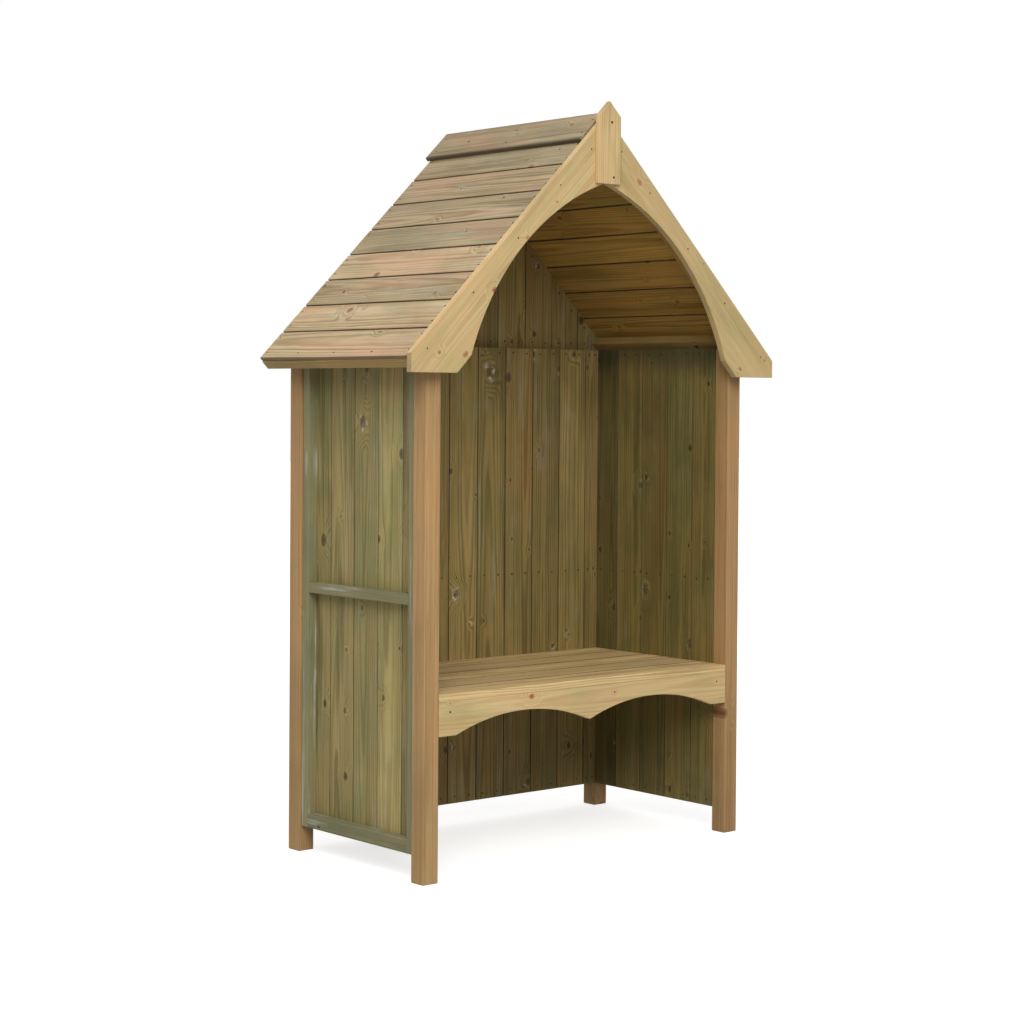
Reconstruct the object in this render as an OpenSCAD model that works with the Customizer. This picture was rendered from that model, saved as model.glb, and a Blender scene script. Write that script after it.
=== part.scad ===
// Timber garden arbour with a bench seat, boarded walls, a pitched roof and a curved front arch.
// Built in millimetres. +Z up, the open front faces -Y, origin under the middle of the footprint.

/* [Overall] */
// width over the posts
frame_w = 1160; // [1080:5:1260]
// depth over the posts
frame_d = 600; // [520:5:700]
// height of the posts and of the wall panels' tops
wall_h = 1400; // [1250:5:1550]

/* [Posts] */
// side of each square post
post = 50; // [46:1:60]
// flat planed on each long edge of a post
post_ease = 2.5; // [1:0.5:4]

/* [Walls] */
// height of the wall panels' bottom edges above the ground
wall_clear = 70; // [50:1:120]
// thickness of the wall boards
wall_board_t = 12; // [10:1:14]
// how far the wall battens stand back from the posts' outer faces
batten_recess = 8; // [4:1:12]
// width of the stiles and of the top and middle rails
batten_w = 28; // [24:1:36]
// height of the bottom rails
low_rail_h = 37; // [28:1:50]
// height of the middle rails' undersides
mid_rail_z = 716; // [620:2:860]

/* [Seat] */
// height of the seat's top
seat_h = 488; // [440:2:520]
// thickness of the seat boards
seat_t = 20; // [18:1:26]
// gap between two seat boards
seat_gap = 5; // [3:1:8]
// thickness of the apron
apron_t = 20; // [16:1:24]
// height of the apron at its ends
apron_h = 90; // [80:1:120]
// rise of the two arches cut in the apron
apron_rise = 46; // [24:1:60]
// straight length at each end of the apron
apron_flat = 58; // [30:1:100]
// width of the bearers under the seat
bearer_w = 28; // [22:1:34]
// height of the bearers under the seat
bearer_h = 45; // [35:1:60]

/* [Roof] */
// how far each eave passes the posts
eave_over = 84; // [70:2:110]
// slope of the roof in degrees
pitch = 44.5; // [42:0.5:47]
// thickness of the roof boards and of the ridge caps
roof_board_t = 12; // [10:1:16]
// thickness of the battens under the roof boards
roof_batten_t = 28; // [24:1:34]
// width of the rafters, which is also how far the roof passes the posts
rafter_w = 28; // [24:1:40]
// width of the eave rails and the bearing rails
roof_rail_w = 36; // [28:1:44]
// width of the ridge rails at their tops
ridge_rail_w = 40; // [34:1:50]
// how far in from a post's outer face the bearing rail's foot stands
foot_in = 13; // [8:1:20]
// flat planed on the bearing rail's foot, measured down the corner
foot_cut = 4; // [2:0.5:6]
// width of each ridge cap down the slope
cap_w = 110; // [80:1:140]
// how far the ridge caps pass the roof's rear edge
cap_tail = 12; // [0:1:20]

/* [Front arch] */
// thickness of the bargeboards
barge_t = 20; // [16:1:26]
// how far the bargeboards' top edges stand above the roof boards
barge_rise = 6; // [0:1:10]
// height of the upright cut at the outer end of a bargeboard
barge_end_h = 49; // [40:1:70]
// length of the level cut under a bargeboard
barge_foot_l = 150; // [130:1:180]
// run of the sloping cut between the level cut and the arch, across and up
barge_bevel = 46; // [30:1:60]
// upright depth of the bargeboards where they meet
barge_apex_h = 183; // [160:1:220]
// how far the arch's curve bulges past the straight line from its foot to its point
arch_bulge = 80; // [40:2:90]

/* [Finial] */
// width of the finial
finial_w = 82; // [70:1:100]
// thickness of the finial
finial_t = 14; // [12:1:20]
// height of the finial below its point
finial_len = 183; // [150:1:220]
// how far the finial's lower end passes the arch's point
finial_drop = 4; // [2:1:12]

/* [Hidden] */
$fn = 96;

hx = frame_w / 2;
ix = hx - post;                                  // inner faces of the posts and side boards
iy = frame_d - post;                             // inner face of the back boards
batten_t = post - wall_board_t - batten_recess;  // depth of the wall battens
panel_h = wall_h - wall_clear;
rw = hx + eave_over;                             // half the width over the eaves
cp = cos(pitch);
sp = sin(pitch);
tp = tan(pitch);
deck = roof_board_t + roof_batten_t;             // roof boards and battens together
under = roof_board_t + 0.02;                     // tops of the battens, seated under the boards
// height of the roof boards' top edge at the eave, from the bearing rail standing on the wall
eave_z = wall_h - foot_cut + deck / cp - (eave_over + foot_in) * tp;
rail_u = (eave_over + foot_in - deck * sp) / cp;   // bearing rail's lower edge, up the slope
y_front = -rafter_w;
y_rear = frame_d + rafter_w;
y_cap = y_rear + cap_tail;
y_face = y_front - barge_t - finial_t;
y_mid = (y_face + y_cap) / 2;
gable_y = frame_d - wall_board_t;                // front face of the gable boards
seat_u = seat_h - seat_t;                        // underside of the seat boards
seat_board_w = (iy - 4 * seat_gap) / 5;
barge_top = eave_z + rw * tp + barge_rise / cp;
barge_out = barge_top - rw * tp;                 // top of the upright end cut
barge_low = barge_out - barge_end_h;
arch_x = rw - barge_foot_l - barge_bevel;        // foot of the arch's curve
arch_z = barge_low + barge_bevel;
arch_top = barge_top - barge_apex_h;
arch_chord = sqrt(arch_x * arch_x + (arch_top - arch_z) * (arch_top - arch_z));
arch_r = (arch_chord * arch_chord / 4 + arch_bulge * arch_bulge) / (2 * arch_bulge);
arch_k = (arch_r - arch_bulge) / arch_chord;
arch_cx = arch_x / 2 + (arch_z - arch_top) * arch_k;
arch_cz = (arch_z + arch_top) / 2 - arch_x * arch_k;
apron_half = (ix - apron_flat) / 2;              // half the span of one apron arch
apron_r = (apron_half * apron_half + apron_rise * apron_rise) / (2 * apron_rise);

oak = [0.66, 0.53, 0.36];
pale = [0.78, 0.68, 0.48];
green = [0.52, 0.50, 0.34];
deal = [0.72, 0.63, 0.45];

// a point u up the right slope from the eave and t below the roof boards' top
function on_slope(u, t) = [rw - u * cp - t * sp, eave_z + u * sp - t * cp];
// height of the layer t below the roof's top, over the middle of the arbour
function at_ridge(t) = eave_z + rw * tp - t / cp;
// height of that layer at a distance x from the middle
function at_x(x, t) = at_ridge(t) - x * tp;

module stand() {
    translate([0, -y_mid, 0]) children();
}

module other_side() {
    mirror([1, 0, 0]) children();
}

// an outline drawn in X and Z, given a depth from y0 to y1
module profile(points, y0, y1) {
    translate([0, y1, 0]) rotate([90, 0, 0]) linear_extrude(height = y1 - y0) polygon(points);
}

module box(p0, p1) {
    translate(p0) cube([p1[0] - p0[0], p1[1] - p0[1], p1[2] - p0[2]]);
}

module post_at(x, y) {
    e = post_ease;
    q = post - post_ease;
    translate([x, y, 0]) linear_extrude(height = wall_h)
        polygon([[e, 0], [q, 0], [post, e], [post, q], [q, post], [e, post], [0, q], [0, e]]);
}

module post_front_left() { color(oak) stand() post_at(-hx, 0); }
module post_front_right() { color(oak) stand() post_at(ix, 0); }
module post_rear_left() { color(oak) stand() post_at(-hx, iy); }
module post_rear_right() { color(oak) stand() post_at(ix, iy); }

module side_boards_right() {
    color(green) stand() box([ix, post, wall_clear], [ix + wall_board_t, iy, wall_h]);
}
module side_boards_left() { other_side() side_boards_right(); }

module back_boards() {
    color(green) stand() box([-ix, iy, wall_clear], [ix, iy + wall_board_t, wall_h]);
}

module side_stiles_right() {
    x0 = ix + wall_board_t;
    color(green) stand() {
        box([x0, post, wall_clear], [x0 + batten_t, post + batten_w, wall_h]);
        box([x0, iy - batten_w, wall_clear], [x0 + batten_t, iy, wall_h]);
    }
}
module side_stiles_left() { other_side() side_stiles_right(); }

module side_rails_right() {
    x0 = ix + wall_board_t;
    y0 = post + batten_w;
    y1 = iy - batten_w;
    color(green) stand() {
        box([x0, y0, wall_clear], [x0 + batten_t, y1, wall_clear + low_rail_h]);
        box([x0, y0, mid_rail_z], [x0 + batten_t, y1, mid_rail_z + batten_w]);
        box([x0, y0, wall_h - batten_w], [x0 + batten_t, y1, wall_h]);
    }
}
module side_rails_left() { other_side() side_rails_right(); }

module back_stiles() {
    y0 = iy + wall_board_t;
    color(green) stand() {
        box([-ix, y0, wall_clear], [-ix + batten_w, y0 + batten_t, wall_h]);
        box([ix - batten_w, y0, wall_clear], [ix, y0 + batten_t, wall_h]);
    }
}

module back_rails() {
    y0 = iy + wall_board_t;
    x1 = ix - batten_w;
    color(green) stand() {
        box([-x1, y0, wall_clear], [x1, y0 + batten_t, wall_clear + low_rail_h]);
        box([-x1, y0, mid_rail_z], [x1, y0 + batten_t, mid_rail_z + batten_w]);
        box([-x1, y0, wall_h - batten_w], [x1, y0 + batten_t, wall_h]);
    }
}

module seat_board(i) {
    y0 = (i - 1) * (seat_board_w + seat_gap);
    color(deal) stand() box([-ix, y0, seat_u], [ix, y0 + seat_board_w, seat_h]);
}
module seat_board_1() { seat_board(1); }
module seat_board_2() { seat_board(2); }
module seat_board_3() { seat_board(3); }
module seat_board_4() { seat_board(4); }
module seat_board_5() { seat_board(5); }

module seat_apron() {
    low = seat_u - apron_h;
    color(pale) stand() difference() {
        box([-ix, 0, low], [ix, apron_t, seat_u]);
        for (s = [-1, 1]) {
            translate([s * apron_half, apron_t + 1, low + apron_rise - apron_r]) rotate([90, 0, 0])
                cylinder(r = apron_r, h = apron_t + 2);
        }
    }
}

module seat_bearer_right() {
    color(deal) stand() box([ix - bearer_w, apron_t, seat_u - bearer_h], [ix, iy, seat_u]);
}
module seat_bearer_left() { other_side() seat_bearer_right(); }

module seat_bearer_back() {
    x1 = ix - bearer_w;
    color(deal) stand() box([-x1, iy - bearer_w, seat_u - bearer_h], [x1, iy, seat_u]);
}

module seat_bearer_centre() {
    x1 = bearer_w / 2;
    color(deal) stand() box([-x1, apron_t, seat_u - bearer_h], [x1, iy - bearer_w, seat_u]);
}

module gable_boards() {
    z1 = at_x(hx, under);
    color(green) stand() profile([[-hx, wall_h], [hx, wall_h], [hx, z1],
        [0, at_ridge(under)], [-hx, z1]], gable_y, frame_d);
}

module gable_rail() {
    h = roof_rail_w;
    x0 = (at_ridge(deck) - wall_h) / tp - 0.1;   // clear of the rafters' sloping edges
    x1 = x0 - h / tp;
    color(green) stand() profile([[-x0, wall_h], [x0, wall_h], [x1, wall_h + h], [-x1, wall_h + h]],
        frame_d, y_rear);
}

module roof_boards_right() {
    t = roof_board_t;
    color(deal) stand() profile([on_slope(0, 0), on_slope(0, t), [0, at_ridge(t)], [0, at_ridge(0)]],
        y_front, y_rear);
}
module roof_boards_left() { other_side() roof_boards_right(); }

module rafters_right() {
    t0 = under;
    edge = [on_slope(roof_rail_w, t0), on_slope(roof_rail_w, deck), [0, at_ridge(deck)], [0, at_ridge(t0)]];
    color(deal) stand() {
        profile(edge, y_front, 0);
        profile(edge, frame_d, y_rear);
    }
}
module rafters_left() { other_side() rafters_right(); }

module eave_rail_right() {
    t0 = under;
    w = roof_rail_w;
    color(deal) stand() profile([on_slope(0, t0), on_slope(0, deck), on_slope(w, deck), on_slope(w, t0)],
        y_front, y_rear);
}
module eave_rail_left() { other_side() eave_rail_right(); }

module bearing_rail_right() {
    t0 = under;
    u0 = rail_u;
    u1 = rail_u + roof_rail_w;
    color(deal) stand() profile([on_slope(u0, t0), on_slope(u0, deck - foot_cut / cp),
        on_slope(u0 + foot_cut / sp, deck), on_slope(u1, deck), on_slope(u1, t0)], 0, gable_y);
}
module bearing_rail_left() { other_side() bearing_rail_right(); }

module ridge_rail_right() {
    t0 = under;
    u0 = (rw - t0 * sp) / cp - ridge_rail_w;
    color(deal) stand() profile([on_slope(u0, t0), on_slope(u0, deck), [0, at_ridge(deck)], [0, at_ridge(t0)]],
        0, gable_y);
}
module ridge_rail_left() { other_side() ridge_rail_right(); }

module ridge_cap_right() {
    t = roof_board_t;
    u0 = (rw + t * sp) / cp - cap_w;
    color(pale) stand() profile([on_slope(u0, -t), on_slope(u0, 0), [0, at_ridge(0)], [0, at_ridge(-t)]],
        y_front, y_cap);
}
module ridge_cap_left() { other_side() ridge_cap_right(); }

module bargeboard_right() {
    y1 = y_front;
    y0 = y_front - barge_t;
    foot_x = rw - barge_foot_l;
    color(pale) stand() difference() {
        profile([[rw, barge_out], [rw, barge_low], [foot_x, barge_low], [arch_x, arch_z],
            [0, arch_z], [0, barge_top]], y0, y1);
        translate([arch_cx, y1 + 1, arch_cz]) rotate([90, 0, 0]) cylinder(r = arch_r, h = barge_t + 2);
    }
}
module bargeboard_left() { other_side() bargeboard_right(); }

module finial() {
    z0 = arch_top - finial_drop;
    z1 = z0 + finial_len;
    w = finial_w / 2;
    color(pale) stand() profile([[-w, z0], [w, z0], [w, z1], [0, z1 + w * tp], [-w, z1]],
        y_face, y_front - barge_t);
}

post_front_left();
post_front_right();
post_rear_left();
post_rear_right();
side_boards_left();
side_boards_right();
back_boards();
side_stiles_left();
side_stiles_right();
side_rails_left();
side_rails_right();
back_stiles();
back_rails();
seat_board_1();
seat_board_2();
seat_board_3();
seat_board_4();
seat_board_5();
seat_apron();
seat_bearer_left();
seat_bearer_right();
seat_bearer_back();
seat_bearer_centre();
gable_boards();
gable_rail();
roof_boards_left();
roof_boards_right();
rafters_left();
rafters_right();
eave_rail_left();
eave_rail_right();
bearing_rail_left();
bearing_rail_right();
ridge_rail_left();
ridge_rail_right();
ridge_cap_left();
ridge_cap_right();
bargeboard_left();
bargeboard_right();
finial();
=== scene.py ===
"""The looks of a timber garden arbour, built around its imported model.

Every timber is its own eased bar or board with its own grain, in metres, in the frame's axes:
+Z up, +X to the right seen from the open front, the front faces -Y.
"""

import logging
import math
import random
from dataclasses import dataclass, field
from enum import Enum
from typing import Iterable, Optional, Sequence, Union

import bmesh
import bpy
from mathutils import Matrix, Vector


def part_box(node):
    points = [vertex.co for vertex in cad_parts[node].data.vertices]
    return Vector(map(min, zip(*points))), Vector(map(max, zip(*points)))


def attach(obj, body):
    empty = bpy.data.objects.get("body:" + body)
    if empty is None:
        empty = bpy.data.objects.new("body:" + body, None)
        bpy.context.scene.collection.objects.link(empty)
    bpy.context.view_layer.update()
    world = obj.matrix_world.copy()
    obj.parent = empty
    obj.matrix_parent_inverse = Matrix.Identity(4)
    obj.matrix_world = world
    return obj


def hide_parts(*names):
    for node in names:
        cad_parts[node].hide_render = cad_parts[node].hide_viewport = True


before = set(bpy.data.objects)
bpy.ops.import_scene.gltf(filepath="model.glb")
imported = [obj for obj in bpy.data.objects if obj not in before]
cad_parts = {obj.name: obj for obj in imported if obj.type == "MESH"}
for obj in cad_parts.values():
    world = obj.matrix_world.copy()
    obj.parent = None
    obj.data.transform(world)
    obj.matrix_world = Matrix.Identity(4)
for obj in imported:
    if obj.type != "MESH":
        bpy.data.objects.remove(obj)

LOG = logging.getLogger("arbour")
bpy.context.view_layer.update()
X, Y, Z = Vector((1, 0, 0)), Vector((0, 1, 0)), Vector((0, 0, 1))
MM = 0.001

Socket = bpy.types.NodeSocket
Value = Union[Socket, float, int, tuple, Vector, bool]
Colour = tuple[float, float, float]


def paint(red: int, green: int, blue: int) -> Colour:
    """Turns a display colour into the linear values that the shaders use.

    Args:
        red, green, blue: the colour as seen, from 0 to 255.

    Returns:
        The three linear values.
    """

    def one(c: float) -> float:
        """Returns one channel in linear light."""
        c /= 255
        return c / 12.92 if c <= 0.04045 else ((c + 0.055) / 1.055) ** 2.4

    return one(red), one(green), one(blue)


# ---------------------------------------------------------------- node trees


class Graph:
    """Writes a node tree in short lines."""

    def __init__(self, tree: bpy.types.NodeTree) -> None:
        """Keeps the tree that is written."""
        self.tree = tree

    def node(self, kind: str, **props: object) -> bpy.types.Node:
        """Adds a node.

        Args:
            kind: the node's type name.
            props: its properties by name.

        Returns:
            The node.
        """
        made = self.tree.nodes.new(kind)
        for name, value in props.items():
            setattr(made, name, value)
        return made

    def put(self, socket: Socket, value: Value) -> None:
        """Links a socket or sets its value.

        Args:
            socket: the input.
            value: another node's output, or a plain value.
        """
        if isinstance(value, bpy.types.NodeSocket):
            self.tree.links.new(value, socket)
        elif isinstance(value, tuple) and len(value) == 3 and socket.type == "RGBA":
            socket.default_value = (*value, 1.0)
        else:
            socket.default_value = value

    def math(self, op: str, a: Value, b: Value = 0.0, c: Value = 0.0, clamp: bool = False) -> Socket:
        """Adds one sum.

        Args:
            op: the operation.
            a, b, c: its inputs.
            clamp: whether the result stays from 0 to 1.

        Returns:
            The result.
        """
        made = self.node("ShaderNodeMath", operation=op, use_clamp=clamp)
        for socket, value in zip(made.inputs, (a, b, c)):
            self.put(socket, value)
        return made.outputs[0]

    def add(self, a: Value, b: Value) -> Socket:
        """Returns a plus b."""
        return self.math("ADD", a, b)

    def mul(self, a: Value, b: Value) -> Socket:
        """Returns a times b."""
        return self.math("MULTIPLY", a, b)

    def vector(self, x: Value, y: Value, z: Value = 0.0) -> Socket:
        """Returns a vector made of three values."""
        made = self.node("ShaderNodeCombineXYZ")
        for socket, value in zip(made.inputs, (x, y, z)):
            self.put(socket, value)
        return made.outputs[0]

    def parts(self, vector: Value) -> list[Socket]:
        """Returns a vector's three values."""
        made = self.node("ShaderNodeSeparateXYZ")
        self.put(made.inputs[0], vector)
        return list(made.outputs)

    def vmath(self, op: str, a: Value, b: Value = (0.0, 0.0, 0.0), scale: Value = 1.0) -> Socket:
        """Adds one vector sum.

        Args:
            op: the operation.
            a, b: its vectors.
            scale: the factor of SCALE.

        Returns:
            The resulting vector, or the value of LENGTH.
        """
        made = self.node("ShaderNodeVectorMath", operation=op)
        self.put(made.inputs[0], a)
        if op == "SCALE":
            self.put(made.inputs["Scale"], scale)
        elif op != "LENGTH":
            self.put(made.inputs[1], b)
        return made.outputs["Value" if op == "LENGTH" else "Vector"]

    def noise(self, vector: Value, scale: float, detail: float = 2.0, rough: float = 0.5) -> Socket:
        """Adds a noise.

        Args:
            vector: where it is read.
            scale: cells to a unit.
            detail, rough: its finer layers.

        Returns:
            Its value, about 0.5 on average.
        """
        made = self.node("ShaderNodeTexNoise")
        self.put(made.inputs["Vector"], vector)
        for name, value in (("Scale", scale), ("Detail", detail), ("Roughness", rough)):
            made.inputs[name].default_value = value
        return made.outputs[0]

    def span(self, value: Value, low: float, high: float, to_low: float = 0.0, to_high: float = 1.0) -> Socket:
        """Maps a value smoothly from one span to another, and holds it there.

        Args:
            value: the value.
            low, high: where the change starts and ends.
            to_low, to_high: what it changes from and to.

        Returns:
            The mapped value.
        """
        made = self.node("ShaderNodeMapRange", interpolation_type="SMOOTHSTEP")
        for socket, v in zip(made.inputs, (value, low, high, to_low, to_high)):
            self.put(socket, v)
        return made.outputs[0]

    def blend(self, share: Value, a: Value, b: Value, how: str = "MIX") -> Socket:
        """Blends two colours.

        Args:
            share: how much of the second, from 0 to 1.
            a, b: the colours.
            how: the blend's kind.

        Returns:
            The blended colour.
        """
        made = self.node("ShaderNodeMix", data_type="RGBA", blend_type=how)
        self.put(made.inputs["Factor"], share)
        self.put([s for s in made.inputs if s.name == "A" and s.type == "RGBA"][0], a)
        self.put([s for s in made.inputs if s.name == "B" and s.type == "RGBA"][0], b)
        return [s for s in made.outputs if s.type == "RGBA"][0]

    def ramp(self, value: Value, stops: Sequence[tuple[float, float]]) -> Socket:
        """Adds a curve of straight steps.

        Args:
            value: what it reads.
            stops: pairs of place and height, both from 0 to 1.

        Returns:
            The height.
        """
        made = self.node("ShaderNodeValToRGB")
        self.put(made.inputs[0], value)
        points = made.color_ramp.elements
        while len(points) < len(stops):
            points.new(0.5)
        for point, (place, height) in zip(points, stops):
            point.position = place
            point.color = (height, height, height, 1)
        return made.outputs[0]

    def own(self, name: str) -> bpy.types.Node:
        """Returns the node that reads one of the piece's own attributes."""
        return self.node("ShaderNodeAttribute", attribute_type="GEOMETRY", attribute_name=name)


# ---------------------------------------------------------------- finishes


@dataclass(frozen=True)
class TimberFinish:
    """Treated softwood: growth rings round a wandering heart, knots, fibres, stains and end grain.

    It reads the piece's own "grain" (metres along, across and through a board), "board" (three
    random shares, one set to a board) and "end" (1 on sawn ends).
    """

    name: str
    early: Colour
    late: Colour
    warm: Colour
    green: Colour
    knot: Colour
    contrast: float = 0.55
    warm_share: float = 0.4
    green_share: float = 0.35
    ring: float = 4.2 * MM
    knots: float = 0.42
    knot_size: float = 8.5 * MM
    tone: float = 0.14
    halo: float = 0.3
    bloom: float = 0.0
    dirt: float = 0.18
    chalk: float = 0.0
    # inner: a colour multiplied into a board's underside or inner face, as painted shade there; on the roof boards it
    # also makes the underside browner.
    inner: Optional[Colour] = None
    # joint, inner_joint, one_edge: where the painted shade in the joints starts across a board, how light it stays on
    # an underside, and whether only one edge takes it.
    joint: Optional[float] = None
    inner_joint: float = 0.0
    one_edge: bool = False
    vein: float = 0.5
    blush: float = 0.25
    # The height from which a board's inner face darkens, as painted shade under the roof.
    roof_shade_from: Optional[float] = None
    level: float = 1.0
    roughness: float = 0.68
    relief: float = 0.45

    def material(self) -> bpy.types.Material:
        """Writes the finish as a material.

        Returns:
            The material.
        """
        made = bpy.data.materials.new(self.name)
        made.use_nodes = True
        made.node_tree.nodes.clear()
        g = Graph(made.node_tree)
        grain, board = g.own("grain").outputs["Vector"], g.own("board").outputs["Vector"]
        end = g.own("end").outputs["Fac"]
        along, across, through = g.parts(grain)
        r0, r1, r2 = g.parts(board)
        far = g.add(along, g.mul(r0, 23.0))

        # Knots: one to a cell at most, oval along the board.
        cell = (0.20, 0.085)
        kx = g.math("DIVIDE", g.add(far, g.mul(r2, 7.0)), cell[0])
        ky = g.math("DIVIDE", g.add(across, g.mul(r1, 5.0)), cell[1])
        cells = g.node("ShaderNodeTexVoronoi", voronoi_dimensions="2D", feature="F1")
        g.put(cells.inputs["Vector"], g.vector(kx, ky))
        cells.inputs["Scale"].default_value = 1.0
        cells.inputs["Randomness"].default_value = 0.85
        px, py, _ = g.parts(cells.outputs["Position"])
        c0, c1, c2 = g.parts(cells.outputs["Color"])
        dx = g.mul(g.math("SUBTRACT", kx, px), cell[0] * 0.72)
        dy = g.mul(g.math("SUBTRACT", ky, py), cell[1])
        ragged = g.mul(g.math("SUBTRACT", g.noise(g.vector(far, across, through), 150.0, 3.0, 0.65), 0.5), 7.5 * MM)
        away = g.add(g.vmath("LENGTH", g.vector(dx, dy)), ragged)
        size = g.mul(g.add(g.mul(g.mul(c0, c0), 1.1), 0.35), self.knot_size)
        here = g.math("LESS_THAN", c1, self.knots)
        e = g.math("DIVIDE", away, size)
        core = g.mul(g.span(e, 0.82, 1.0, 1.0, 0.0), here)
        rim = g.mul(g.math("SUBTRACT", 1.0, g.math("DIVIDE", g.math("ABSOLUTE", g.math("SUBTRACT", e, 0.98)), 0.2),
                           clamp=True), here)
        near = g.mul(g.span(e, 0.6, 5.0, 1.0, 0.0), here)

        # Growth rings round a heart that lies beside or under the board and wanders along it.
        slow = g.vector(g.mul(far, 1.3), g.mul(across, 5.0), g.mul(through, 5.0))
        sway = g.mul(g.math("SUBTRACT", g.noise(slow, 1.0, 2.0), 0.5), 0.030)
        side = g.add(g.add(across, g.mul(g.math("SUBTRACT", r1, 0.5), 0.08)), sway)
        tilt = g.mul(along, g.mul(g.math("SUBTRACT", r0, 0.5), 0.045))
        depth = g.add(g.add(through, g.add(0.010, g.mul(r2, 0.05))), tilt)
        radius = g.vmath("LENGTH", g.vector(side, depth))
        radius = g.add(radius, g.mul(near, g.mul(size, 2.1)))
        count = g.math("DIVIDE", radius, self.ring)
        ripple = g.noise(g.vector(g.mul(far, 5.0), g.mul(across, 40.0), g.mul(through, 40.0)), 1.0, 2.0)
        count = g.add(count, g.mul(g.math("SUBTRACT", ripple, 0.5), 0.7))
        late = g.ramp(g.math("FRACT", count), ((0.0, 0.1), (0.3, 0.0), (0.75, 1.0), (0.92, 0.9), (1.0, 0.1)))
        year = g.node("ShaderNodeTexWhiteNoise", noise_dimensions="2D")
        g.put(year.inputs["Vector"], g.vector(g.math("FLOOR", count), g.mul(r0, 91.0)))
        late = g.mul(late, g.add(g.mul(year.outputs["Value"], 0.6), 0.4))

        fibre = g.noise(g.vector(g.mul(far, 6.0), g.mul(across, 420.0), g.mul(through, 420.0)), 1.0, 3.0, 0.6)
        streak = g.noise(g.vector(g.mul(far, 1.1), g.mul(across, 30.0), g.mul(through, 30.0)), 1.0, 4.0, 0.62)
        place = g.node("ShaderNodeTexCoord").outputs["Object"]
        cloud = g.noise(g.vmath("ADD", place, g.vmath("SCALE", board, scale=4.0)), 4.5, 4.0, 0.6)

        colour = g.blend(g.mul(g.span(streak, 0.42, 0.68), self.warm_share), self.early, self.warm)
        damp = g.mul(g.add(g.span(cloud, 0.38, 0.66), g.span(r1, 0.2, 1.0, -0.2, 0.5)), self.green_share)
        colour = g.blend(g.math("MAXIMUM", damp, 0.0), colour, self.green)
        colour = g.blend(g.mul(late, self.contrast), colour, self.late)
        vein = g.noise(g.vector(g.mul(far, 2.2), g.mul(across, 95.0), g.mul(through, 95.0)), 1.0, 3.0, 0.6)
        broad = g.noise(g.vector(g.mul(far, 2.4), g.mul(across, 13.0), g.mul(r1, 9.0)), 1.0, 3.0, 0.6)
        colour = g.blend(g.mul(g.span(broad, 0.48, 0.66), self.blush), colour, self.warm)
        colour = g.vmath("SCALE", colour, scale=g.span(broad, 0.25, 0.6, 0.84, 1.06))
        dark = g.math("MAXIMUM", g.span(streak, 0.38, 0.5, 1.0, 0.0), g.span(vein, 0.36, 0.46, self.vein, 0.0))
        dark = g.mul(dark, g.add(0.35, g.mul(r0, 0.6)))
        colour = g.blend(g.mul(dark, self.contrast), colour, self.late)
        pale = g.mul(g.span(e, 1.0, 2.4, 1.0, 0.0), here)
        colour = g.blend(g.mul(pale, self.halo), colour, g.blend(0.25, self.early, self.warm))
        if self.bloom:
            spot = g.mul(g.span(e, 0.8, 2.3, 1.0, 0.0), here)
            salt = g.span(g.noise(g.vmath("SCALE", place, scale=1.0), 55.0, 3.0, 0.7), 0.52, 0.62)
            some = g.math("LESS_THAN", c2, 0.55)
            colour = g.blend(g.mul(g.mul(g.mul(spot, salt), some), self.bloom), colour, paint(214, 216, 200))
        inner = g.blend(g.span(e, 0.15, 0.8), tuple(c * 0.55 for c in self.knot), tuple(c * 2.3 for c in self.knot))
        colour = g.blend(g.mul(core, g.add(0.55, g.mul(c2, 0.4))), colour, inner)
        colour = g.blend(g.mul(rim, g.add(0.2, g.mul(c2, 0.5))), colour, tuple(c * 0.5 for c in self.knot))
        if self.chalk:
            dust = g.noise(g.vector(g.mul(far, 3.2), g.mul(across, 70.0), g.mul(through, 70.0)), 1.0, 4.0, 0.65)
            patch = g.span(g.noise(place, 5.5, 3.0, 0.6), 0.42, 0.62)
            colour = g.blend(g.mul(g.mul(g.span(dust, 0.5, 0.68), patch), self.chalk), colour, paint(196, 200, 186))
        # Painted shade: below is 1 on a board's underside or inner face, and there the colour is multiplied by the
        # inner colour.
        below = g.span(through, -4.8 * MM, -3.6 * MM, 1.0, 0.0)
        if self.inner:
            colour = g.blend(below, colour, self.inner, "MULTIPLY")
        # Painted shade under the roof: above the given height, with a ragged edge, the inner face darkens towards a
        # dark olive.
        if self.roof_shade_from is not None:
            high = g.add(g.parts(place)[2], g.mul(g.math("SUBTRACT", cloud, 0.5), 0.16))
            roof_shade = g.mul(g.mul(g.span(high, self.roof_shade_from, self.roof_shade_from + 0.09), below), 0.6)
            colour = g.blend(roof_shade, colour, paint(54, 58, 44))

        shade = g.add(self.level, g.mul(g.math("SUBTRACT", r2, 0.5), 2 * self.tone * self.level))
        shade = g.mul(shade, g.add(0.82, g.mul(fibre, 0.36)))
        # Painted shade in the joints: near its edge in a joint and on its tongue a board darkens to about a third, less
        # on an underside, and not on its sawn ends.
        if self.joint:
            reach = across if self.one_edge else g.math("ABSOLUTE", across)
            edge = g.span(reach, self.joint - 1.4 * MM, self.joint + 1.2 * MM, 1.0, 0.32)
            edge = g.math("MAXIMUM", edge, g.mul(below, self.inner_joint))
            shade = g.mul(shade, g.math("MAXIMUM", edge, end))
        grime = g.span(g.noise(place, 2.1, 5.0, 0.62), 0.5, 0.78)
        shade = g.mul(shade, g.math("SUBTRACT", 1.0, g.mul(grime, self.dirt)))
        shade = g.mul(shade, g.math("SUBTRACT", 1.0, g.mul(end, 0.22)))
        colour = g.vmath("SCALE", colour, scale=shade)

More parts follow.
